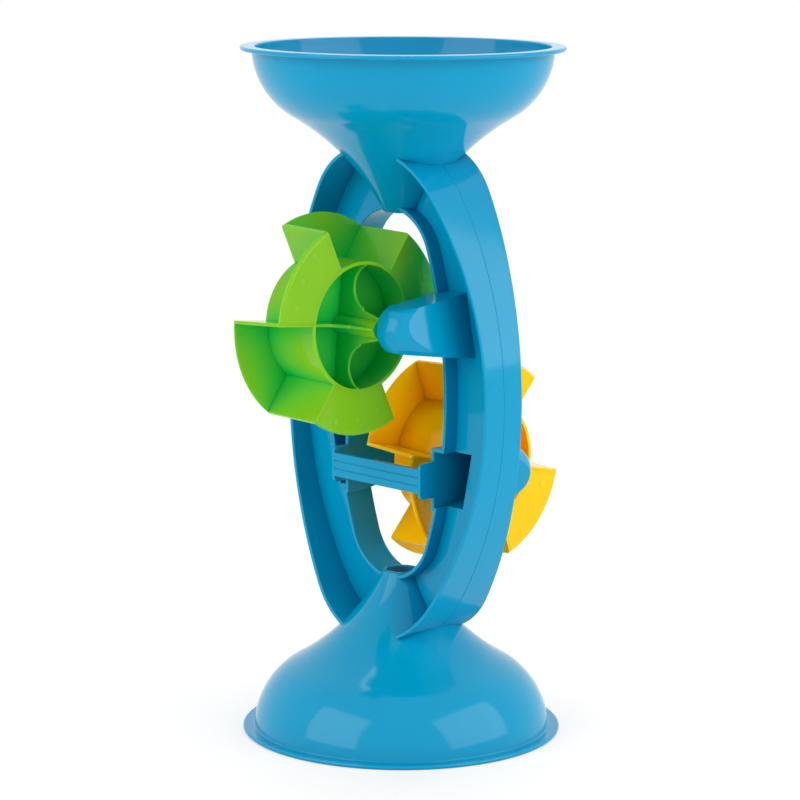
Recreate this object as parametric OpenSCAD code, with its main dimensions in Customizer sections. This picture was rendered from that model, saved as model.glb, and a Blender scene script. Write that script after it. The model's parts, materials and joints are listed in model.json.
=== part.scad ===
// Sand wheel toy: two funnels on an oval frame, with a bucket wheel on each side of the frame.
// The frame lies in the XZ plane, +Z is up, and the origin is on the floor under the middle.
// The lower half is the upper half turned half a turn about the X axis through the middle.

/* [Funnels] */
// Height from the floor to the top rim
total_h = 380; // [365:1:400]
// Outer diameter of the hopper rim and of the base rim
rim_d = 177; // [165:1:190]
// How far the rim stands out from the bowl
rim_lip = 6.2; // [4:0.1:8]
// Thickness of the rim
rim_t = 2.4; // [1.6:0.1:3]
// Wall thickness of both funnels
funnel_wall = 1.8; // [1.2:0.1:2.6]
// Outer radius of the bowl's arc, which starts upright at the rim
bowl_arc_r = 44; // [40:0.5:50]
// Angle that the bowl's arc turns through before it flares to the spout
bowl_turn = 60; // [54:1:63]
// Height of a funnel from its rim to its spout tip
funnel_h = 90.2; // [86:0.2:96]
// Outer diameter of the spout tip
spout_d = 20.6; // [16:0.2:24]

/* [Oval frame] */
// Outer width of the oval frame
frame_w = 158.6; // [145:0.2:170]
// How far the ends of the oval frame lie inside the funnels, past the spout tips
frame_sink = 37.2; // [32:0.2:41]
// Radius of the oval frame's ends
frame_end_r = 54; // [48:1:60]
// Width of the window in the frame
window_w = 84.8; // [80:0.2:92]
// How far the window's ends lie past the spout tips
window_sink = 2.2; // [1:0.2:4]
// Radius of the window's ends
window_end_r = 30; // [24:0.2:32]
// Thickness of the outer band and of the window rim
flange_t = 2.2; // [1.6:0.1:3]
// Thickness of the plate between them
web_t = 2; // [1.4:0.1:3]
// Depth of the outer band at mid height
band_depth = 27.2; // [24:0.2:32]
// Radius of the band's hollow edges, seen from the side
band_edge_r = 740; // [600:10:1000]
// Depth of the window rim
window_rim_depth = 19.4; // [16:0.2:22]

/* [Arms] */
// Distance from the frame's middle plane to each axle
axle_offset = 47.5; // [45:0.5:50]
// Height of the upper axle over the middle, and of the middle over the lower axle
axle_rise = 43; // [40:0.5:46]
// Clear distance between the two arms of a wheel
arm_gap = 67; // [62:0.5:72]
// Width of an arm at the height of its axle
arm_w = 21; // [18:0.5:25]
// Lean of an arm's outer face, which follows the oval
arm_lean = 12; // [4:1:16]
// Height of an arm at the web
arm_root_h = 35; // [32:0.5:38]
// Height of an arm at its tip
arm_tip_h = 21.6; // [18:0.2:26]
// How far an arm reaches past the axle
arm_overhang = 6.2; // [5.4:0.1:9]
// Radius of the upper and lower edge of an arm's tip
arm_tip_r = 9.5; // [6:0.5:11]
// Radius of the ball that rounds off an arm's tip
arm_ball_r = 15; // [13:0.5:18]
// How far that ball lies behind the tip of the side view
arm_ball_back = 0.6; // [0.3:0.1:2]
// Distance from an arm's inner face to the middle of the ball
arm_ball_in = 8; // [6:0.5:10]
// Half angle of the cone in which the ball runs out along the arm's long edges
arm_ball_flare = 20; // [18:1:30]
// Wall thickness of an arm
arm_wall = 2; // [1.4:0.1:2.6]
// Distance from the frame's middle plane to the crossbar's outer face
bar_reach = 20; // [18:0.5:24]
// Height of the arm's tongue behind the crossbar
tongue_h = 20; // [17:0.5:24]
// Corner radius of the tongue
tongue_r = 3; // [1:0.5:5]
// Height of a crossbar
bar_h = 13.4; // [11:0.2:16]
// Thickness of a crossbar
bar_t = 3; // [2:0.1:4]
// Width of the two grooves along a crossbar
groove_w = 0.8; // [0.4:0.1:1.6]
// Depth of the grooves
groove_depth = 0.5; // [0.2:0.1:1]

/* [Wheels] */
// Diameter over the buckets
wheel_d = 117.4; // [106:0.2:120]
// Width of a wheel over its buckets
wheel_w = 38; // [32:0.5:44]
// Outer diameter of the drum
drum_d = 70.6; // [64:0.2:76]
// Wall thickness of a wheel
wheel_wall = 1.8; // [1.2:0.1:2.4]
// Skew of the paddles, turned so that each bucket widens towards its open side
paddle_skew = 3.5; // [0:0.5:5]
// Radius of the buckets' outer edges
bucket_edge_r = 2; // [1:0.1:4]
// Outer diameter of the hub
hub_d = 10; // [9:0.2:12]
// Turn of the ribs from the first paddle
rib_turn = 30; // [0:1:90]
// Radius of the scoop in each rib
scoop_r = 12; // [9:0.5:12.5]
// Distance from the wheel's middle plane to the bottom of the scoop
scoop_floor = 11; // [5:0.5:14]
// Height of a rib over the hub at the wheel's side, from where it tapers to the hub's end
rib_foot = 4; // [2:0.1:6]
// Diameter of an axle
axle_d = 6; // [4:0.1:7]
// Radial clearance of the hub and of the arms on an axle
axle_fit = 0.05; // [0.02:0.01:0.1]
// Gap between a hub's end and an arm
end_play = 0.6; // [0.3:0.1:1.5]
// Length of an axle's seat in an arm
seat_l = 8; // [5:0.5:11]
// Wall round an axle's seat
seat_wall = 2.4; // [1.6:0.1:3]
// Turn of the upper wheel's first paddle
upper_turn = 54.6; // [0:0.1:120]
// Turn of the lower wheel's first paddle
lower_turn = 48.6; // [0:0.1:120]

/* [Hidden] */
$fn = 96;
long_arc_fn = 360;
eps = 1;
span = 2 * total_h;
mid_z = total_h / 2;
bucket_count = 6;
rib_count = 4;
bucket_angle = 360 / bucket_count;

// Bowl arc: centre on the rim plane, so that the wall starts upright
mouth_r = rim_d / 2 - rim_lip;
bowl_cx = mouth_r - bowl_arc_r;
turn_dir = [cos(bowl_turn), sin(bowl_turn)];
turn_point = [bowl_cx, 0] + bowl_arc_r * turn_dir;
// Flare arc: leaves the bowl without a kink and ends at the spout tip
tip_to_turn = turn_point - [spout_d / 2, funnel_h];
flare_r = -(tip_to_turn * tip_to_turn) / (2 * turn_dir * tip_to_turn);
flare_c = turn_point + flare_r * turn_dir;

// The frame and its window span the gap between the two spout tips
tip_gap = total_h - 2 * funnel_h;
frame_h = tip_gap + 2 * frame_sink;
window_h = tip_gap + 2 * window_sink;

arm_in_x = arm_gap / 2;
arm_tip_y = -(axle_offset + arm_overhang);
arm_taper = atan((arm_root_h - arm_tip_h) / 2 / -arm_tip_y);
seat_end_x = arm_in_x + seat_l;
drum_r = drum_d / 2;
drum_in_r = drum_r - wheel_wall;
wheel_r = wheel_d / 2;
hub_r = hub_d / 2;
hub_half_l = arm_in_x - end_play;

BLUE = [0, 0.6, 0.82];
GREEN = [0.44, 0.75, 0.08];
YELLOW = [1, 0.8, 0];

// Placing and extruding

// Draws a flat shape given as (x, z), with its depth along Y
module along_y(depth) {
    rotate([90, 0, 0])
        linear_extrude(height = depth, center = true)
            children();
}

// Draws a flat shape given as (y, z), from x = start over the given length
module along_x(start, length) {
    translate([start, 0, 0])
        rotate([90, 0, 90])
            linear_extrude(height = length)
                children();
}

// Places something at mid height, for the upper half or turned over for the lower half
module at_level(level) {
    translate([0, 0, mid_z])
        rotate([level > 0 ? 0 : 180, 0, 0])
            children();
}

// Keeps the right side as drawn, or mirrors it to the left
module on_side(side) {
    mirror([side > 0 ? 0 : 1, 0, 0])
        children();
}

// Funnels

// Filled half section of a funnel standing on its rim, with its surface set in by inset
module funnel_section(inset, overrun) {
    arc_r = bowl_arc_r - inset;
    turn_z = arc_r * turn_dir[1];
    if (overrun > 0)
        translate([0, -overrun])
            square([bowl_cx + arc_r, overrun]);
    square([bowl_cx, turn_z]);
    translate([bowl_cx, 0])
        intersection() {
            circle(r = arc_r);
            square([arc_r, turn_z]);
        }
    difference() {
        translate([0, turn_z])
            square([bowl_cx + arc_r * turn_dir[0], funnel_h + overrun - turn_z]);
        translate(flare_c)
            circle(r = flare_r + inset);
    }
}

module rim_section() {
    translate([bowl_cx, 0])
        square([rim_d / 2 - rim_t / 2 - bowl_cx, rim_t]);
    translate([rim_d / 2 - rim_t / 2, rim_t / 2])
        circle(d = rim_t);
}

module funnel() {
    rotate_extrude()
        difference() {
            union() {
                funnel_section(0, 0);
                rim_section();
            }
            funnel_section(funnel_wall, eps);
        }
}

// The space inside both funnels' outer surfaces, where the frame ends
module funnel_bodies() {
    for (level = [1, -1])
        at_level(level)
            translate([0, 0, mid_z])
                mirror([0, 0, 1])
                    rotate_extrude()
                        funnel_section(0, 0);
}

module hopper() {
    color(BLUE)
        translate([0, 0, total_h])
            mirror([0, 0, 1])
                funnel();
}

module base() {
    color(BLUE)
        funnel();
}

// Oval frame

// Radius of the long side arcs of a four-arc oval
function side_arc_r(w, h, end_r) = (pow(w / 2, 2) + pow(h / 2 - end_r, 2) - pow(end_r, 2)) / (w - 2 * end_r);

// Oval of four arcs that run into each other without a kink, grown by an even amount
module oval(w, h, end_r, grow) {
    side_r = side_arc_r(w, h, end_r);
    join_z = (h / 2 - end_r) * (side_r + grow) / (side_r - end_r);
    intersection() {
        translate([w / 2 - side_r, 0])
            circle(r = side_r + grow, $fn = long_arc_fn);
        translate([side_r - w / 2, 0])
            circle(r = side_r + grow, $fn = long_arc_fn);
        square([w + 2 * grow, 2 * join_z], center = true);
    }
    for (end = [-1, 1])
        translate([0, end * (h / 2 - end_r)])
            circle(r = end_r + grow);
}

module frame_oval(grow) {
    oval(frame_w, frame_h, frame_end_r, grow);
}

module window_oval(grow) {
    oval(window_w, window_h, window_end_r, grow);
}

// Side view of the outer band: narrow at mid height and wider towards the funnels
module band_side_view() {
    difference() {
        square([frame_w, frame_h], center = true);
        for (face = [-1, 1])
            translate([face * (band_depth / 2 + band_edge_r), 0])
                circle(r = band_edge_r, $fn = long_arc_fn);
    }
}

// One half of something in the frame's plane, cut off at the funnels
module frame_half(side) {
    color(BLUE)
        on_side(side)
            difference() {
                translate([0, 0, mid_z])
                    intersection() {
                        children();
                        along_x(0, frame_w)
                            square([frame_w, frame_h], center = true);
                    }
                funnel_bodies();
            }
}

module outer_band(side) {
    frame_half(side)
        intersection() {
            along_y(frame_w)
                difference() {
                    frame_oval(0);
                    frame_oval(-flange_t);
                }
            along_x(0, frame_w)
                band_side_view();
        }
}

module web(side) {
    frame_half(side)
        difference() {
            along_y(web_t)
                difference() {
                    frame_oval(-flange_t);
                    window_oval(flange_t);
                }
            arm_pair_outlines();
        }
}

module window_rim(side) {
    frame_half(side)
        difference() {
            along_y(window_rim_depth)
                difference() {
                    window_oval(flange_t);
                    window_oval(0);
                }
            arm_pair_outlines();
        }
}

// Arms, drawn for the upper right arm, with z from mid height

// Tapered side view of an arm, set in by inset, from its rounded tip to y = back
module arm_side_view(inset, back) {
    tip_y = arm_tip_y + inset;
    tip_half = arm_tip_h / 2 - inset / cos(arm_taper);
    root_half = arm_root_h / 2 - inset / cos(arm_taper);
    round_r = arm_tip_r - inset;
    round_y = tip_y + round_r;
    round_z = tip_half + tan(arm_taper) * (round_y - arm_tip_y) - round_r / cos(arm_taper);
    touch_y = round_y - round_r * sin(arm_taper);
    touch_half = tip_half + tan(arm_taper) * (touch_y - arm_tip_y);
    translate([0, axle_rise]) {
        polygon([
            [back, root_half], [0, root_half], [touch_y, touch_half],
            [touch_y, -touch_half], [0, -root_half], [back, -root_half]
        ]);
        translate([tip_y, -round_z])
            square([round_r, 2 * round_z]);
        for (edge = [-1, 1])
            translate([round_y, edge * round_z])
                circle(r = round_r);
    }
}

// Ball at an arm's tip and the cone behind it, set in by inset
module arm_nose(inset) {
    ball_r = arm_ball_r - inset;
    touch_r = ball_r * cos(arm_ball_flare);
    wide_r = touch_r + tan(arm_ball_flare) * frame_w;
    touch_at = arm_ball_r - ball_r * sin(arm_ball_flare);
    translate([arm_in_x + arm_ball_in, arm_tip_y + arm_ball_back, axle_rise])
        rotate([-90, 0, 0])
            rotate_extrude() {
                intersection() {
                    translate([0, arm_ball_r])
                        circle(r = ball_r);
                    square([ball_r, touch_at]);
                }
                translate([0, touch_at])
                    polygon([[0, 0], [touch_r, 0], [wide_r, frame_w], [0, frame_w]]);
            }
}

// An arm set in by inset, with its inner face upright and its outer face leaning along the oval
module arm_block(inset, back) {
    intersection() {
        along_x(arm_in_x + inset, frame_w)
            arm_side_view(inset, back);
        translate([arm_in_x + arm_w, 0, axle_rise])
            rotate([0, -arm_lean, 0])
                translate([-inset - frame_w, -frame_w, -frame_w])
                    cube([frame_w, 2 * frame_w, 2 * frame_w]);
        arm_nose(inset);
    }
}

// An arm without its hollow: up to the web's far face, and at the window up to the rim's far edge
module arm_outline() {
    intersection() {
        arm_block(0, window_rim_depth / 2);
        union() {
            translate([0, -frame_w, -total_h])
                cube([frame_w, frame_w + web_t / 2, 2 * total_h]);
            along_y(frame_w)
                window_oval(flange_t);
        }
    }
}

// The outlines of the upper and lower arm on the right, seen from mid height
module arm_pair_outlines() {
    arm_outline();
    rotate([180, 0, 0])
        arm_outline();
}

// Plate that carries the crossbar behind the arm's inner wall
module arm_tongue() {
    end_y = bar_reach - tongue_r;
    along_x(arm_in_x, arm_wall)
        translate([0, axle_rise]) {
            translate([0, -tongue_h / 2])
                square([end_y, tongue_h]);
            translate([end_y, tongue_r - tongue_h / 2])
                square([tongue_r, tongue_h - 2 * tongue_r]);
            for (edge = [-1, 1])
                translate([end_y, edge * (tongue_h / 2 - tongue_r)])
                    circle(r = tongue_r);
        }
}

// A round bar along X at the axle's place
module axle_bar(r, start, length) {
    along_x(start, length)
        translate([-axle_offset, axle_rise])
            circle(r = r);
}

module arm(side, level) {
    color(BLUE)
        at_level(level)
            on_side(side)
                difference() {
                    union() {
                        arm_outline();
                        arm_tongue();
                    }
                    difference() {
                        arm_block(arm_wall, span);
                        axle_bar(axle_d / 2 + axle_fit + seat_wall, arm_in_x, seat_l);
                    }
                    axle_bar(axle_d / 2 + axle_fit, 0, seat_end_x + eps);
                }
}

module crossbar(level) {
    color(BLUE)
        at_level(level)
            along_x(-arm_in_x, arm_gap)
                translate([bar_reach, axle_rise])
                    difference() {
                        translate([-bar_t, -bar_h / 2])
                            square([bar_t, bar_h]);
                        for (edge = [-1, 1])
                            translate([-groove_depth, edge * bar_h / 6 - groove_w / 2])
                                square([groove_depth + eps, groove_w]);
                    }
}

module axle(level) {
    color(BLUE)
        at_level(level)
            axle_bar(axle_d / 2, -seat_end_x, 2 * seat_end_x);
}

// Wheels, drawn round the X axis with the first paddle along +Y

module at_wheel(level) {
    at_level(level)
        translate([0, -axle_offset, axle_rise])
            rotate([level > 0 ? upper_turn : lower_turn, 0, 0])
                children();
}

// A tube round the wheel's axis
module wheel_tube(out_r, in_r, start, length) {
    along_x(start, length)
        difference() {
            circle(r = out_r);
            circle(r = in_r);
        }
}

module wheel_drum(paint, level) {
    color(paint)
        at_wheel(level)
            wheel_tube(drum_r, drum_in_r, -wheel_w / 2, wheel_w);
}

module wheel_hub(paint, level) {
    color(paint)
        at_wheel(level)
            wheel_tube(hub_r, axle_d / 2 + axle_fit, -hub_half_l, 2 * hub_half_l);
}

module wheel_disc(paint, level) {
    color(paint)
        at_wheel(level)
            wheel_tube(drum_in_r, hub_r, -wheel_wall / 2, wheel_wall);
}

// One rib as (radius, x): scooped between the drum and the hub, and tapered along the hub to its end
module rib_section() {
    difference() {
        polygon([
            [0, wheel_wall / 2], [drum_r, wheel_wall / 2], [drum_r, wheel_w / 2],
            [hub_r + rib_foot, wheel_w / 2], [hub_r + wheel_wall / 2, hub_half_l], [0, hub_half_l]
        ]);
        translate([drum_in_r - scoop_r, scoop_floor + scoop_r])
            circle(r = scoop_r);
    }
}

module wheel_ribs(paint, level) {
    color(paint)
        at_wheel(level)
            for (rib = [0 : rib_count - 1])
                for (face = [0, 1])
                    intersection() {
                        rotate([rib_turn + 360 / rib_count * rib, 0, 0])
                            mirror([face, 0, 0])
                                rotate([0, 0, 90])
                                    mirror([0, 1, 0])
                                        linear_extrude(height = wheel_wall, center = true)
                                            rib_section();
                        wheel_tube(drum_in_r, hub_r, -hub_half_l, 2 * hub_half_l);
                    }
}

// The ring that the buckets fill, with its outer edges rounded
module bucket_ring() {
    rotate([0, 90, 0])
        rotate_extrude() {
            translate([drum_r, -wheel_w / 2])
                square([wheel_r - bucket_edge_r - drum_r, wheel_w]);
            translate([drum_r, bucket_edge_r - wheel_w / 2])
                square([wheel_r - drum_r, wheel_w - 2 * bucket_edge_r]);
            for (edge = [-1, 1])
                translate([wheel_r - bucket_edge_r, edge * (wheel_w / 2 - bucket_edge_r)])
                    circle(r = bucket_edge_r);
        }
}

// Places a flat block on a paddle's middle plane, skewed about the paddle's own middle line
module at_paddle(bucket) {
    skew = bucket % 2 == 0 ? paddle_skew : -paddle_skew;
    rotate([bucket_angle * bucket, 0, 0])
        rotate([0, skew, 0])
            children();
}

module wheel_paddles(paint, level) {
    color(paint)
        at_wheel(level)
            for (bucket = [0 : bucket_count - 1])
                intersection() {
                    at_paddle(bucket)
                        translate([-wheel_w, 0, -wheel_wall / 2])
                            cube([2 * wheel_w, wheel_d, wheel_wall]);
                    bucket_ring();
                }
}

// The space on one face of a paddle
module beside_paddle(bucket, face) {
    at_paddle(bucket)
        translate([0, 0, face * (wheel_wall + wheel_d) / 2])
            cube([2 * wheel_w, 2 * wheel_d, wheel_d], center = true);
}

// Every second bucket is closed on the same side by a wall between its two paddles
module wheel_side_walls(paint, level, side) {
    wall_x = side * (wheel_w - wheel_wall) / 2 - wheel_wall / 2;
    color(paint)
        at_wheel(level)
            for (bucket = [side > 0 ? 1 : 0 : 2 : bucket_count - 1])
                intersection() {
                    bucket_ring();
                    wheel_tube(wheel_d, hub_r, wall_x, wheel_wall);
                    beside_paddle(bucket, 1);
                    beside_paddle(bucket + 1, -1);
                }
}

hopper();
base();
outer_band(-1);  // left_outer_band
outer_band(1);  // right_outer_band
web(-1);  // left_web
web(1);  // right_web
window_rim(-1);  // left_window_rim
window_rim(1);  // right_window_rim
arm(-1, 1);  // upper_left_arm
arm(1, 1);  // upper_right_arm
arm(-1, -1);  // lower_left_arm
arm(1, -1);  // lower_right_arm
crossbar(1);  // upper_crossbar
crossbar(-1);  // lower_crossbar
axle(1);  // upper_axle
axle(-1);  // lower_axle
wheel_drum(GREEN, 1);  // upper_wheel_drum
wheel_hub(GREEN, 1);  // upper_wheel_hub
wheel_disc(GREEN, 1);  // upper_wheel_disc
wheel_ribs(GREEN, 1);  // upper_wheel_ribs
wheel_paddles(GREEN, 1);  // upper_wheel_paddles
wheel_side_walls(GREEN, 1, -1);  // upper_wheel_left_walls
wheel_side_walls(GREEN, 1, 1);  // upper_wheel_right_walls
wheel_drum(YELLOW, -1);  // lower_wheel_drum
wheel_hub(YELLOW, -1);  // lower_wheel_hub
wheel_disc(YELLOW, -1);  // lower_wheel_disc
wheel_ribs(YELLOW, -1);  // lower_wheel_ribs
wheel_paddles(YELLOW, -1);  // lower_wheel_paddles
wheel_side_walls(YELLOW, -1, -1);  // lower_wheel_left_walls
wheel_side_walls(YELLOW, -1, 1);  // lower_wheel_right_walls
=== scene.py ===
"""Looks of the sand wheel toy: glossy blue stand, lime bucket wheel in front, yellow bucket wheel behind.

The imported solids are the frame. Each shown moulding is a copy of its solid with softened edges, and small
raised details that the solids leave out, the dots on the buckets and the parting line, are added on top.
"""
import json
import logging
import math
from dataclasses import dataclass, field, replace
from enum import Enum
from typing import Optional, Sequence

import bmesh
import bpy
from mathutils import Matrix, Vector
from mathutils.bvhtree import BVHTree


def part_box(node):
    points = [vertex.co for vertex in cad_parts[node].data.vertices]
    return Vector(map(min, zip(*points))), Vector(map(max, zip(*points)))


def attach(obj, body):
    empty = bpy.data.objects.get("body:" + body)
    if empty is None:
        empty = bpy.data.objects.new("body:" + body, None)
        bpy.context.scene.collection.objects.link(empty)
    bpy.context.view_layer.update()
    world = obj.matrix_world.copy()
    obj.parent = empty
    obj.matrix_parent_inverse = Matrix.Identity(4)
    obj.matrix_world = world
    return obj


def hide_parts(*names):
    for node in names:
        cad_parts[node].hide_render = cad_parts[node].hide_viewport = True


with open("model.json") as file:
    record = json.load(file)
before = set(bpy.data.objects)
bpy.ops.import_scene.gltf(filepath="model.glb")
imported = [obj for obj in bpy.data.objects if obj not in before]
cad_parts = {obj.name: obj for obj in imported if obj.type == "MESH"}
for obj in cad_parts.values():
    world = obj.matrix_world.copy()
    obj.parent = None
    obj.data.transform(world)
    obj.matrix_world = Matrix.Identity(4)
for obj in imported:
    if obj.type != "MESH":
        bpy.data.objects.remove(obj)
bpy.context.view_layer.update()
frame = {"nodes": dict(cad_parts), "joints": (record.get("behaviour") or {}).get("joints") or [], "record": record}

log = logging.getLogger("sand_wheel")
MM = 0.001
TOUCH = 0.03 * MM
MERGE = 0.002 * MM
FLAT_DEG = 0.3
EDGE_SPOTS = (0.2, 0.5, 0.8)
NORMAL_WEIGHT = 60
AO_SAMPLES = 8
# Sockets of the colour Mix node, which has several of the same name
MIX_A, MIX_B, MIX_RESULT = 6, 7, 2


class Body(Enum):
    """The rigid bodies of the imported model."""

    STAND = "stand"
    UPPER_WHEEL = "upper_wheel"
    LOWER_WHEEL = "lower_wheel"


def linear_rgba(hex_colour: str) -> tuple[float, float, float, float]:
    """Turns an sRGB hex colour into linear RGBA.

    Args:
        hex_colour: colour such as "#0a90c8".

    Returns:
        Linear red, green, blue and an alpha of one.
    """
    channels = [int(hex_colour[i : i + 2], 16) / 255 for i in (1, 3, 5)]
    red, green, blue = (c / 12.92 if c <= 0.04045 else ((c + 0.055) / 1.055) ** 2.4 for c in channels)
    return red, green, blue, 1.0


def add_node(
    tree: bpy.types.NodeTree,
    kind: str,
    settings: Optional[dict] = None,
    inputs: Optional[dict] = None,
) -> bpy.types.Node:
    """Adds one node, sets it and links it.

    Args:
        tree: node tree that gets the node.
        kind: Blender's node type name.
        settings: attribute values of the node.
        inputs: input name or index to a constant value, or to an output socket that is linked to it.

    Returns:
        The new node.
    """
    node = tree.nodes.new(kind)
    for key, value in (settings or {}).items():
        setattr(node, key, value)
    for key, value in (inputs or {}).items():
        if isinstance(value, bpy.types.NodeSocket):
            tree.links.new(value, node.inputs[key])
        else:
            node.inputs[key].default_value = value
    return node


@dataclass(frozen=True)
class MouldedPolypropylene:
    """Injection-moulded polypropylene, coloured through and polished by the mould.

    The eye sees a bright even colour, sharp window-like reflections that waver a little over the long
    shallow ripple of the mould, and a faint glow where light goes through the thin walls. In recesses and
    between parts an ambient occlusion mask paints shade, so the colour there is painted deeper and purer.
    """

    name: str
    slot: str
    colour: str
    cloud_colour: str
    # Painted shade: the colour painted into recesses and between parts in place of the base colour, through an
    # ambient occlusion mask
    painted_shade_colour: str
    painted_shade_range: tuple[float, float]
    glow: float
    glow_mm: tuple[float, float, float]
    painted_shade_reach_mm: float = 30.0
    roughness: float = 0.1
    shine: float = 0.22
    gloss_swing: tuple[float, float] = (-0.03, 0.04)
    refraction: float = 1.49
    cloud_mm: float = 45.0
    cloud_detail: float = 2.0
    ripple_mm: float = 14.0
    ripple_detail: float = 1.0
    ripple_depth_mm: float = 0.25
    ripple_strength: float = 0.12
    grain_mm: float = 0.9
    grain_detail: float = 3.0
    grain_depth_mm: float = 0.05
    grain_strength: float = 0.05

    def make(self) -> bpy.types.Material:
        """Builds the material.

        Returns:
            A node material that reads Object coordinates.
        """
        material = bpy.data.materials.new(self.name)
        material.use_nodes = True
        tree = material.node_tree
        tree.nodes.clear()
        place = add_node(tree, "ShaderNodeTexCoord").outputs["Object"]
        clouds = self._noise(tree, place, self.cloud_mm, self.cloud_detail)
        colour = add_node(
            tree,
            "ShaderNodeMix",
            {"data_type": "RGBA"},
            {
                "Factor": clouds,
                MIX_A: linear_rgba(self.colour),
                MIX_B: linear_rgba(self.cloud_colour),
            },
        )
        # Painted shade: an ambient occlusion mask swaps the base colour for the painted shade colour in recesses
        # and between parts
        occlusion_for_painted_shade = add_node(
            tree,
            "ShaderNodeAmbientOcclusion",
            {"samples": AO_SAMPLES},
            {"Distance": self.painted_shade_reach_mm * MM},
        )
        unshaded_share = add_node(
            tree,
            "ShaderNodeMapRange",
            None,
            {
                "Value": occlusion_for_painted_shade.outputs["AO"],
                "From Min": self.painted_shade_range[0],
                "From Max": self.painted_shade_range[1],
            },
        )
        # The base colour with painted shade mixed in wherever the occlusion mask finds a recess
        shown = add_node(
            tree,
            "ShaderNodeMix",
            {"data_type": "RGBA"},
            {
                "Factor": unshaded_share.outputs[0],
                MIX_A: linear_rgba(self.painted_shade_colour),
                MIX_B: colour.outputs[MIX_RESULT],
            },
        )
        gloss = add_node(
            tree,
            "ShaderNodeMapRange",
            None,
            {
                "Value": clouds,
                "To Min": self.roughness + self.gloss_swing[0],
                "To Max": self.roughness + self.gloss_swing[1],
            },
        )
        ripple = add_node(
            tree,
            "ShaderNodeBump",
            None,
            {
                "Strength": self.ripple_strength,
                "Distance": self.ripple_depth_mm * MM,
                "Height": self._noise(tree, place, self.ripple_mm, self.ripple_detail),
            },
        )
        # The mould's polish marks are far finer, and are drawn this coarse so that they show at all
        grain = add_node(
            tree,
            "ShaderNodeBump",
            None,
            {
                "Strength": self.grain_strength,
                "Distance": self.grain_depth_mm * MM,
                "Height": self._noise(tree, place, self.grain_mm, self.grain_detail),
                "Normal": ripple.outputs[0],
            },
        )
        shader = add_node(
            tree,
            "ShaderNodeBsdfPrincipled",
            None,
            {
                "Base Color": shown.outputs[MIX_RESULT],
                "Roughness": gloss.outputs[0],
                "IOR": self.refraction,
                "Specular IOR Level": self.shine,
                "Subsurface Weight": self.glow,
                "Subsurface Radius": self.glow_mm,
                "Subsurface Scale": MM,
                "Normal": grain.outputs[0],
            },
        )
        add_node(tree, "ShaderNodeOutputMaterial", None, {"Surface": shader.outputs[0]})
        return material

    @staticmethod
    def _noise(
        tree: bpy.types.NodeTree, place: bpy.types.NodeSocket, size_mm: float, detail: float
    ) -> bpy.types.NodeSocket:
        """Adds a noise pattern whose blobs are about size_mm across.

        Args:
            tree: material tree.
            place: coordinates in metres.
            size_mm: size of one blob.
            detail: octaves of finer noise.

        Returns:
            The noise value, from 0 to 1.
        """
        noise = add_node(
            tree,
            "ShaderNodeTexNoise",
            None,
            {"Vector": place, "Scale": 1.0 / (size_mm * MM), "Detail": detail},
        )
        return noise.outputs[0]


@dataclass(frozen=True)
class EdgeRounding:
    """How far the edges of a moulding are softened."""

    radius_mm: float
    segments: int = 3
    sharp_deg: float = 32.0


def search_tree(names: Sequence[str]) -> Optional[BVHTree]:
    """Makes one search tree of several solids.

    Args:
        names: CAD node names.

    Returns:
        The tree, or None without any names.
    """
    points: list[Vector] = []
    faces: list[tuple[int, ...]] = []
    for name in names:
        mesh = frame["nodes"][name].data
        start = len(points)
        points.extend(vertex.co.copy() for vertex in mesh.vertices)
        faces.extend(tuple(start + i for i in polygon.vertices) for polygon in mesh.polygons)
    return BVHTree.FromPolygons(points, faces) if faces else None


def finished_mesh(obj: bpy.types.Object) -> None:
    """Bakes an object's modifiers into a plain mesh and removes them."""
    bpy.context.view_layer.update()
    graph = bpy.context.evaluated_depsgraph_get()
    mesh = bpy.data.meshes.new_from_object(
        obj.evaluated_get(graph), preserve_all_data_layers=True, depsgraph=graph
    )
    obj.modifiers.clear()
    obj.data = mesh
    mesh.name = obj.name


def linked(obj: bpy.types.Object) -> bpy.types.Object:
    """Puts an object into the scene and returns it."""
    bpy.context.scene.collection.objects.link(obj)
    return obj


def softened_copy(node: str, neighbours: Sequence[str], rounding: EdgeRounding) -> bpy.types.Object:
    """Copies a solid and rounds its free edges, but not those where it runs into a neighbour.

    Args:
        node: CAD node to copy.
        neighbours: CAD nodes of the same moulding.
        rounding: radius and limits.

    Returns:
        The new object, with a plain mesh.
    """
    mesh = frame["nodes"][node].data.copy()
    work = bmesh.new()
    work.from_mesh(mesh)
    bmesh.ops.remove_doubles(work, verts=work.verts, dist=MERGE)
    bmesh.ops.dissolve_limit(
        work,
        angle_limit=math.radians(FLAT_DEG),
        use_dissolve_boundaries=False,
        verts=work.verts,
        edges=work.edges,
    )
    weight = work.edges.layers.float.new("bevel_weight_edge")
    others = search_tree(neighbours)
    for edge in work.edges:
        if len(edge.link_faces) != 2 or edge.calc_face_angle() < math.radians(rounding.sharp_deg):
            continue
        a, b = (vertex.co for vertex in edge.verts)
        spots = [a.lerp(b, share) for share in EDGE_SPOTS]
        touching = others is not None and any(
            (others.find_nearest(spot)[3] or 0.0) < TOUCH for spot in spots
        )
        edge[weight] = 0.0 if touching else 1.0
    work.to_mesh(mesh)
    work.free()
    obj = linked(bpy.data.objects.new(f"{node}_moulding", mesh))
    bevel = obj.modifiers.new("soft edges", "BEVEL")
    bevel.limit_method = "WEIGHT"
    bevel.offset_type = "OFFSET"
    bevel.width = rounding.radius_mm * MM
    bevel.segments = rounding.segments
    bevel.use_clamp_overlap = True
    bevel.miter_outer = "MITER_ARC"
    finished_mesh(obj)
    obj.data.shade_smooth()
    obj.data.set_sharp_from_angle(angle=math.radians(rounding.sharp_deg))
    even = obj.modifiers.new("even faces", "WEIGHTED_NORMAL")
    even.keep_sharp = True
    even.weight = NORMAL_WEIGHT
    finished_mesh(obj)
    return obj


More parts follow.
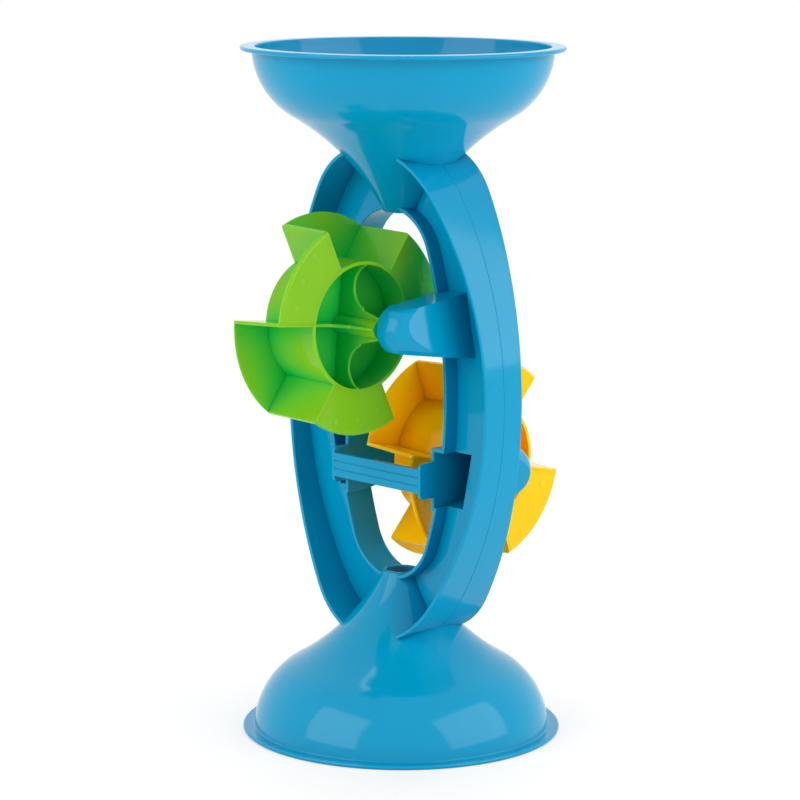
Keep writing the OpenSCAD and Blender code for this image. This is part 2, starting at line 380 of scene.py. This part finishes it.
def dress(
    obj: bpy.types.Object, material: bpy.types.Material, slot: str, body: Body, *nodes: str
) -> None:
    """Gives a piece its finish and its place in the model.

    Args:
        obj: the piece.
        material: its material.
        slot: material slot of the record; not used.
        body: the body it moves with.
        nodes: CAD nodes that it stands for.
    """
    obj.data.materials.clear()
    obj.data.materials.append(material)
    if nodes:
        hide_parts(*nodes)
    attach(obj, body.value)
    log.info("%s: %d faces on %s", obj.name, len(obj.data.polygons), body.value)


class SizedTree:
    """A Geometry Nodes tree with named size inputs, run once on an object and then baked."""

    def __init__(self, name: str) -> None:
        """Starts an empty tree with a geometry input and output."""
        self.tree = bpy.data.node_groups.new(name, "GeometryNodeTree")
        self.tree.interface.new_socket("Geometry", in_out="INPUT", socket_type="NodeSocketGeometry")
        self.tree.interface.new_socket("Geometry", in_out="OUTPUT", socket_type="NodeSocketGeometry")
        self.identifiers: dict[str, str] = {}
        self.entry = self.tree.nodes.new("NodeGroupInput")

    def size(self, name: str, kind: str = "NodeSocketFloat") -> bpy.types.NodeSocket:
        """Adds a named input and returns its socket inside the tree."""
        item = self.tree.interface.new_socket(name, in_out="INPUT", socket_type=kind)
        self.identifiers[name] = item.identifier
        return self.entry.outputs[name]

    def add(
        self, kind: str, settings: Optional[dict] = None, inputs: Optional[dict] = None
    ) -> bpy.types.Node:
        """Adds a node to the tree."""
        return add_node(self.tree, kind, settings, inputs)

    def calc(self, operation: str, *values: object) -> bpy.types.NodeSocket:
        """Adds a math node on one, two or three values and returns its result."""
        node = self.add("ShaderNodeMath", {"operation": operation}, dict(enumerate(values)))
        return node.outputs[0]

    def end(self, geometry: bpy.types.NodeSocket, material: bpy.types.Material) -> None:
        """Closes the tree: real geometry, smooth, in one material."""
        real = self.add("GeometryNodeRealizeInstances", None, {"Geometry": geometry})
        smooth = self.add("GeometryNodeSetShadeSmooth", None, {"Geometry": real.outputs[0]})
        painted = self.add(
            "GeometryNodeSetMaterial", None, {"Geometry": smooth.outputs[0], "Material": material}
        )
        self.add("NodeGroupOutput", None, {"Geometry": painted.outputs[0]})

    def run(self, obj: bpy.types.Object, sizes: dict[str, float]) -> None:
        """Runs the tree on an object with these sizes and keeps the plain mesh."""
        modifier = obj.modifiers.new(self.tree.name, "NODES")
        modifier.node_group = self.tree
        for name, value in sizes.items():
            modifier[self.identifiers[name]] = value
        bpy.context.view_layer.update()
        graph = bpy.context.evaluated_depsgraph_get()
        mesh = bpy.data.meshes.new_from_object(obj.evaluated_get(graph), depsgraph=graph)
        mesh.name = obj.name
        swapped = linked(bpy.data.objects.new(f"{obj.name}.baked", mesh))
        name = obj.name
        bpy.data.objects.remove(obj)
        swapped.name = name


@dataclass
class SubAssembly:
    """The pieces of one body, all in one plastic."""

    body: Body
    finish: MouldedPolypropylene

    def rounding_of(self, node: str) -> EdgeRounding:
        """How far the edges of a CAD node are softened."""
        raise NotImplementedError

    def mould(self, material: bpy.types.Material) -> None:
        """Shows every CAD node of the body as a moulding with soft edges.

        Args:
            material: the plastic of the body.
        """
        names = list(frame["record"]["behaviour"]["bodies"][self.body.value])
        for node in names:
            others = [other for other in names if other != node]
            piece = softened_copy(node, others, self.rounding_of(node))
            dress(piece, material, self.finish.slot, self.body, node)


@dataclass
class Stand(SubAssembly):
    """The blue stand: two funnels, the oval frame, four arms, two crossbars and the axles."""

    # The oval frame's sizes, the same as in the part's source
    frame_w_mm: float = 158.6
    frame_h_mm: float = 274.0
    frame_end_r_mm: float = 54.0
    parting_r_mm: float = 0.22
    parting_end_gap_mm: float = 4.0
    parting_sides: int = 6
    parting_steps: int = 120
    roundings: dict[str, EdgeRounding] = field(
        default_factory=lambda: {
            "hopper": EdgeRounding(0.85, 4),
            "base": EdgeRounding(0.85, 4),
            "band": EdgeRounding(0.7),
            "rim": EdgeRounding(0.7),
            "web": EdgeRounding(0.4),
            "arm": EdgeRounding(0.8),
            "crossbar": EdgeRounding(0.25, 2),
            "axle": EdgeRounding(0.4, 2),
        }
    )

    def rounding_of(self, node: str) -> EdgeRounding:
        """How far the edges of a CAD node are softened, by the word in its name."""
        return next(rounding for key, rounding in self.roundings.items() if key in node)

    def build(self, material: bpy.types.Material) -> None:
        """Makes every moulding of the stand and its parting line.

        Args:
            material: the blue plastic.
        """
        self.mould(material)
        self._parting_lines(material)

    def _half_width_at(self, height: float) -> float:
        """Half width of the oval frame at a height from its middle, in millimetres."""
        w, h, end_r = self.frame_w_mm, self.frame_h_mm, self.frame_end_r_mm
        side_r = ((w / 2) ** 2 + (h / 2 - end_r) ** 2 - end_r**2) / (w - 2 * end_r)
        join = (h / 2 - end_r) * side_r / (side_r - end_r)
        if abs(height) <= join:
            return w / 2 - side_r + math.sqrt(side_r**2 - height**2)
        return math.sqrt(max(end_r**2 - (abs(height) - h / 2 + end_r) ** 2, 0.0))

    def _parting_lines(self, material: bpy.types.Material) -> None:
        """Draws the fine line that the two mould halves leave along the middle of each outer band.

        Args:
            material: the blue plastic.
        """
        tree = SizedTree("parting line")
        radius = tree.size("Line radius")
        profile = tree.add(
            "GeometryNodeCurvePrimitiveCircle",
            None,
            {"Resolution": self.parting_sides, "Radius": radius},
        )
        line = tree.add(
            "GeometryNodeCurveToMesh",
            None,
            {
                "Curve": tree.entry.outputs["Geometry"],
                "Profile Curve": profile.outputs[0],
                "Fill Caps": True,
            },
        )
        tree.end(line.outputs[0], material)
        lowest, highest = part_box("right_outer_band")
        middle = (lowest[2] + highest[2]) / 2
        reach = (highest[2] - lowest[2]) / 2 - self.parting_end_gap_mm * MM
        for side, name in ((1, "right"), (-1, "left")):
            curve = bpy.data.curves.new(f"{name}_parting_line", "CURVE")
            curve.dimensions = "3D"
            path = curve.splines.new("POLY")
            path.points.add(self.parting_steps)
            for i, point in enumerate(path.points):
                height = reach * (2 * i / self.parting_steps - 1)
                point.co = (side * self._half_width_at(height / MM) * MM, 0.0, middle + height, 1.0)
            obj = linked(bpy.data.objects.new(f"{name}_parting_line", curve))
            tree.run(obj, {"Line radius": self.parting_r_mm * MM})
            dress(bpy.data.objects[f"{name}_parting_line"], material, self.finish.slot, self.body)


@dataclass
class BucketWheel(SubAssembly):
    """One wheel: drum, hub, paddles and the side walls that close alternate buckets."""

    turn_deg: float
    half_turn: bool
    wheel_w_mm: float = 38.0
    walls: int = 6
    dots_per_wall: int = 3
    dot_segments: int = 20
    dot_rings: int = 10
    dot_r_mm: float = 2.2
    dot_rise_mm: float = 0.25
    first_dot_deg: float = 15.0
    last_dot_deg: float = 49.0
    first_dot_at_mm: float = 52.5
    last_dot_at_mm: float = 48.2
    wall_rounding: EdgeRounding = EdgeRounding(0.6)
    paddle_rounding: EdgeRounding = EdgeRounding(0.85)
    hub_rounding: EdgeRounding = EdgeRounding(0.5)

    def rounding_of(self, node: str) -> EdgeRounding:
        """How far the edges of a CAD node are softened, by the end of its name."""
        if node.endswith("hub"):
            return self.hub_rounding
        if node.endswith("paddles"):
            return self.paddle_rounding
        return self.wall_rounding

    def build(self, material: bpy.types.Material) -> None:
        """Makes every moulding of the wheel and its raised dots.

        Args:
            material: the wheel's plastic.
        """
        self.mould(material)
        # A dot is too small a body for light to wander in, so its plastic is drawn without the glow
        self._dots(replace(self.finish, name=f"{self.finish.name}, dots", glow=0.0).make())

    def _axle(self) -> Vector:
        """Where the wheel's axle is, in metres."""
        joint = next(j for j in frame["joints"] if j["child"] == self.body.value)
        return Vector(joint["pos_m"])

    def _dots(self, material: bpy.types.Material) -> None:
        """Sets low round dots on the outside of each closed side wall, in a row that winds inwards.

        Args:
            material: the plastic of the dots.
        """
        tree = SizedTree(f"{self.body.value} dots")
        per_wall = tree.size("Dots per wall")
        walls = tree.size("Walls")
        rise = tree.size("Dot rise")
        radius = tree.size("Dot radius")
        half_width = tree.size("Half width of wheel")
        turn = tree.size("Turn")
        first_angle, last_angle = tree.size("First dot angle"), tree.size("Last dot angle")
        first_at, last_at = tree.size("First dot distance"), tree.size("Last dot distance")
        count = tree.calc("MULTIPLY", per_wall, walls)
        points = tree.add("GeometryNodePoints", None, {"Count": count})
        index = tree.add("GeometryNodeInputIndex").outputs[0]
        wall = tree.calc("FLOOR", tree.calc("DIVIDE", tree.calc("ADD", index, 0.5), per_wall))
        step = tree.calc("FLOORED_MODULO", index, per_wall)
        share = tree.calc("DIVIDE", step, tree.calc("SUBTRACT", per_wall, 1.0))
        angle_span = tree.calc("SUBTRACT", last_angle, first_angle)
        inside = tree.calc("MULTIPLY_ADD", share, angle_span, first_angle)
        whole = tree.calc("DIVIDE", math.tau, walls)
        angle = tree.calc("ADD", tree.calc("MULTIPLY_ADD", wall, whole, inside), turn)
        distance_span = tree.calc("SUBTRACT", last_at, first_at)
        distance = tree.calc("MULTIPLY_ADD", share, distance_span, first_at)
        odd = tree.calc("FLOORED_MODULO", wall, 2.0)
        side = tree.calc("MULTIPLY_ADD", odd, 2.0, -1.0)
        spot = tree.add(
            "ShaderNodeCombineXYZ",
            None,
            {
                "X": tree.calc("MULTIPLY", side, half_width),
                "Y": tree.calc("MULTIPLY", distance, tree.calc("COSINE", angle)),
                "Z": tree.calc("MULTIPLY", distance, tree.calc("SINE", angle)),
            },
        )
        placed = tree.add(
            "GeometryNodeSetPosition", None, {"Geometry": points.outputs[0], "Position": spot.outputs[0]}
        )
        dome = tree.add(
            "GeometryNodeMeshUVSphere",
            None,
            {"Segments": self.dot_segments, "Rings": self.dot_rings, "Radius": 1.0},
        )
        flat = tree.add("ShaderNodeCombineXYZ", None, {"X": rise, "Y": radius, "Z": radius})
        dots = tree.add(
            "GeometryNodeInstanceOnPoints",
            None,
            {"Points": placed.outputs[0], "Instance": dome.outputs[0], "Scale": flat.outputs[0]},
        )
        tree.end(dots.outputs[0], material)
        name = f"{self.body.value}_dots"
        holder = linked(bpy.data.objects.new(name, bpy.data.meshes.new(name)))
        tree.run(
            holder,
            {
                "Dots per wall": float(self.dots_per_wall),
                "Walls": float(self.walls),
                "Dot rise": self.dot_rise_mm * MM,
                "Dot radius": self.dot_r_mm * MM,
                "Half width of wheel": self.wheel_w_mm / 2 * MM,
                "Turn": math.radians(self.turn_deg),
                "First dot angle": math.radians(self.first_dot_deg),
                "Last dot angle": math.radians(self.last_dot_deg),
                "First dot distance": self.first_dot_at_mm * MM,
                "Last dot distance": self.last_dot_at_mm * MM,
            },
        )
        piece = bpy.data.objects[name]
        over = Matrix.Rotation(math.pi if self.half_turn else 0.0, 4, "X")
        piece.data.transform(Matrix.Translation(self._axle()) @ over)
        dress(piece, material, self.finish.slot, self.body)


@dataclass(frozen=True)
class SoftBox:
    """One rectangular studio lamp that points at the toy."""

    name: str
    place: tuple[float, float, float]
    width: float
    height: float
    power: float

    def build(self, target: Vector) -> None:
        """Makes the lamp.

        Args:
            target: point that the lamp faces.
        """
        lamp = bpy.data.lights.new(self.name, "AREA")
        lamp.shape = "RECTANGLE"
        lamp.size, lamp.size_y, lamp.energy = self.width, self.height, self.power
        obj = linked(bpy.data.objects.new(self.name, lamp))
        obj.visible_camera = False
        obj.location = self.place
        obj.rotation_euler = (target - obj.location).to_track_quat("-Z", "Y").to_euler()


@dataclass
class Studio:
    """White studio: pale floor, soft boxes and the camera of the photograph."""

    azimuth_deg: float = 46.5
    distance: float = 1.69035
    camera_height: float = 0.48264
    pitch: float = 0.1741
    roll: float = 0.0032
    yaw: float = 0.0007
    focal_px: float = 3112.85
    image_px: float = 800.0
    sensor_mm: float = 36.0
    ambient: float = 0.56
    target: tuple[float, float, float] = (0.0, 0.0, 0.19)
    clip: tuple[float, float] = (0.05, 60.0)
    floor_size: float = 14.0
    paper_colour: str = "#f4f4f4"
    floor_white: tuple[float, float] = (0.5, 1.0)
    shadow_reach: tuple[float, float] = (0.12, 0.5)
    soft_boxes: tuple[SoftBox, ...] = (
        SoftBox("left soft box", (-0.35, -1.9, 1.0), 1.7, 1.7, 23.0),
        SoftBox("right soft box", (1.75, 0.65, 1.0), 2.1, 1.7, 28.0),
        SoftBox("top soft box", (-0.5, 0.5, 2.2), 1.4, 1.4, 22.0),
    )

    def build(self) -> None:
        """Makes the floor, the light and the camera."""
        self._world()
        self._floor()
        for box in self.soft_boxes:
            box.build(Vector(self.target))
        self._camera()
        bpy.context.scene.view_settings.view_transform = "Standard"

    @staticmethod
    def _sees_background(tree: bpy.types.NodeTree) -> bpy.types.NodeSocket:
        """One for rays that show the background: from the camera, mirrored or passed through."""
        path = add_node(tree, "ShaderNodeLightPath").outputs
        seen = path["Is Camera Ray"]
        for kind in ("Is Glossy Ray", "Is Transmission Ray"):
            either = add_node(
                tree, "ShaderNodeMath", {"operation": "MAXIMUM"}, {0: seen, 1: path[kind]}
            )
            seen = either.outputs[0]
        return seen

    def _world(self) -> None:
        """White behind the toy, and an even pale light from all round."""
        world = bpy.data.worlds.new("white studio")
        world.use_nodes = True
        tree = world.node_tree
        tree.nodes.clear()
        strength = add_node(
            tree,
            "ShaderNodeMapRange",
            None,
            {"Value": self._sees_background(tree), "To Min": self.ambient, "To Max": 1.0},
        )
        light = add_node(
            tree, "ShaderNodeBackground", None, {"Color": (1, 1, 1, 1), "Strength": strength.outputs[0]}
        )
        add_node(tree, "ShaderNodeOutputWorld", None, {"Surface": light.outputs[0]})
        bpy.context.scene.world = world

    def _floor(self) -> None:
        """A wide pale floor that keeps the toy's shadow."""
        mesh = bpy.data.meshes.new("floor")
        work = bmesh.new()
        bmesh.ops.create_grid(work, x_segments=1, y_segments=1, size=self.floor_size / 2)
        work.to_mesh(mesh)
        work.free()
        obj = linked(bpy.data.objects.new("floor", mesh))
        material = bpy.data.materials.new("matt white paper")
        material.use_nodes = True
        tree = material.node_tree
        tree.nodes.clear()
        paper = add_node(tree, "ShaderNodeBsdfDiffuse", None, {"Color": linear_rgba(self.paper_colour)})
        white = add_node(tree, "ShaderNodeEmission", None, {"Strength": 1.0})
        place = add_node(tree, "ShaderNodeTexCoord").outputs["Object"]
        distance = add_node(tree, "ShaderNodeVectorMath", {"operation": "LENGTH"}, {0: place})
        share = add_node(
            tree,
            "ShaderNodeMapRange",
            {"interpolation_type": "SMOOTHSTEP"},
            {
                "Value": distance.outputs["Value"],
                "From Min": self.shadow_reach[0],
                "From Max": self.shadow_reach[1],
                "To Min": self.floor_white[0],
                "To Max": self.floor_white[1],
            },
        )
        shown = add_node(
            tree,
            "ShaderNodeMath",
            {"operation": "MULTIPLY"},
            {0: share.outputs[0], 1: self._sees_background(tree)},
        )
        mixed = add_node(
            tree,
            "ShaderNodeMixShader",
            None,
            {0: shown.outputs[0], 1: paper.outputs[0], 2: white.outputs[0]},
        )
        add_node(tree, "ShaderNodeOutputMaterial", None, {"Surface": mixed.outputs[0]})
        mesh.materials.append(material)

    def _camera(self) -> None:
        """Sets the camera where the photograph was taken from."""
        azimuth = math.radians(self.azimuth_deg)
        place = Vector(
            (
                math.sin(azimuth) * self.distance,
                -math.cos(azimuth) * self.distance,
                self.camera_height,
            )
        )
        look = azimuth + self.yaw
        ahead = Vector(
            (
                -math.sin(look) * math.cos(self.pitch),
                math.cos(look) * math.cos(self.pitch),
                -math.sin(self.pitch),
            )
        )
        level = Vector((math.cos(look), math.sin(look), 0.0))
        above = level.cross(ahead)
        right = level * math.cos(self.roll) + above * math.sin(self.roll)
        up = above * math.cos(self.roll) - level * math.sin(self.roll)
        data = bpy.data.cameras.new("photo camera")
        data.sensor_width = self.sensor_mm
        data.lens = self.focal_px / self.image_px * self.sensor_mm
        data.clip_start, data.clip_end = self.clip
        obj = linked(bpy.data.objects.new("photo camera", data))
        turn = Matrix((right, up, -ahead)).transposed()
        obj.matrix_world = Matrix.Translation(place) @ turn.to_4x4()
        bpy.context.scene.camera = obj


BLUE = MouldedPolypropylene(
    name="blue moulded polypropylene",
    slot="blue_plastic",
    colour="#0093bc",
    cloud_colour="#008eb8",
    # Painted shade: darker blue painted into recesses
    painted_shade_colour="#006a98",
    painted_shade_range=(0.1, 0.45),
    glow=0.15,
    glow_mm=(0.2, 1.0, 1.6),
)
GREEN = MouldedPolypropylene(
    name="lime moulded polypropylene",
    slot="green_plastic",
    colour="#7fb814",
    cloud_colour="#78b414",
    # Painted shade: purer, deeper green painted into recesses
    painted_shade_colour="#00c44e",
    painted_shade_range=(0.35, 0.95),
    glow=0.6,
    glow_mm=(0.8, 3.2, 0.6),
)
YELLOW = MouldedPolypropylene(
    name="yellow moulded polypropylene",
    slot="yellow_plastic",
    colour="#ffc600",
    cloud_colour="#fdc000",
    # Painted shade: more orange yellow painted into recesses
    painted_shade_colour="#ffab00",
    painted_shade_range=(0.25, 0.95),
    glow=0.5,
    glow_mm=(3.5, 1.4, 0.2),
)


def main() -> None:
    """Builds the stand, both wheels and the studio."""
    logging.basicConfig(level=logging.INFO, format="%(name)s %(message)s")
    Stand(Body.STAND, BLUE).build(BLUE.make())
    BucketWheel(Body.UPPER_WHEEL, GREEN, turn_deg=54.6, half_turn=False).build(GREEN.make())
    BucketWheel(Body.LOWER_WHEEL, YELLOW, turn_deg=48.6, half_turn=True).build(YELLOW.make())
    Studio().build()


if __name__ == "__main__":
    main()
